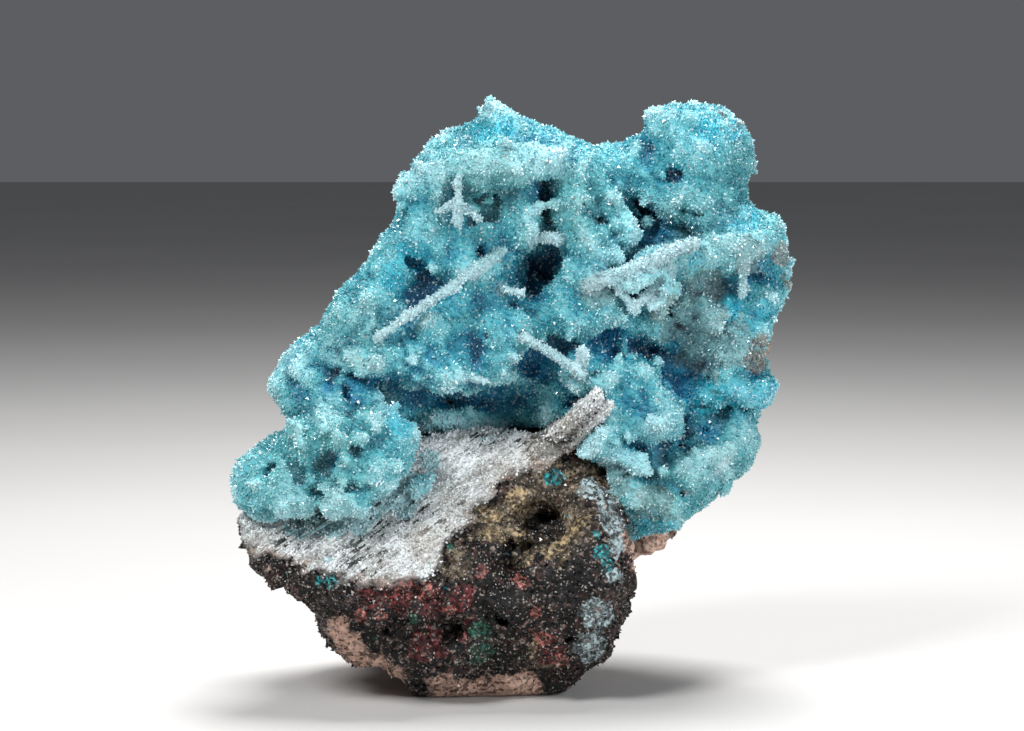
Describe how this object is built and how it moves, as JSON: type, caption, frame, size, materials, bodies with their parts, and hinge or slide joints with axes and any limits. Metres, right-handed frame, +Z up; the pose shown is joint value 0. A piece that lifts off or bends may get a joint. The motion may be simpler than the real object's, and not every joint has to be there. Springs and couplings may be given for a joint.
{
  "type": "mineral specimen",
  "caption": "Drusy blue chrysocolla crust with quartz-coated rods on a broken brown host rock with a pale ledge across its front.",
  "frame": {"origin": "middle of the bounding box in plan, on the flat foot that the specimen rests on", "axes": "+Z up, -Y towards the viewer, +X to the viewer's right"},
  "size_m": [0.0839, 0.056, 0.0897],
  "materials": {
    "host_rock": "rough, speckled brown, red and black",
    "chrysocolla": "blue, covered with fine sparkling quartz",
    "quartz_druse": "clear glassy crystal points"
  },
  "bodies": {
    "root": {"matrix": "host_rock", "chrysocolla": "chrysocolla"}
  },
  "joints": []
}
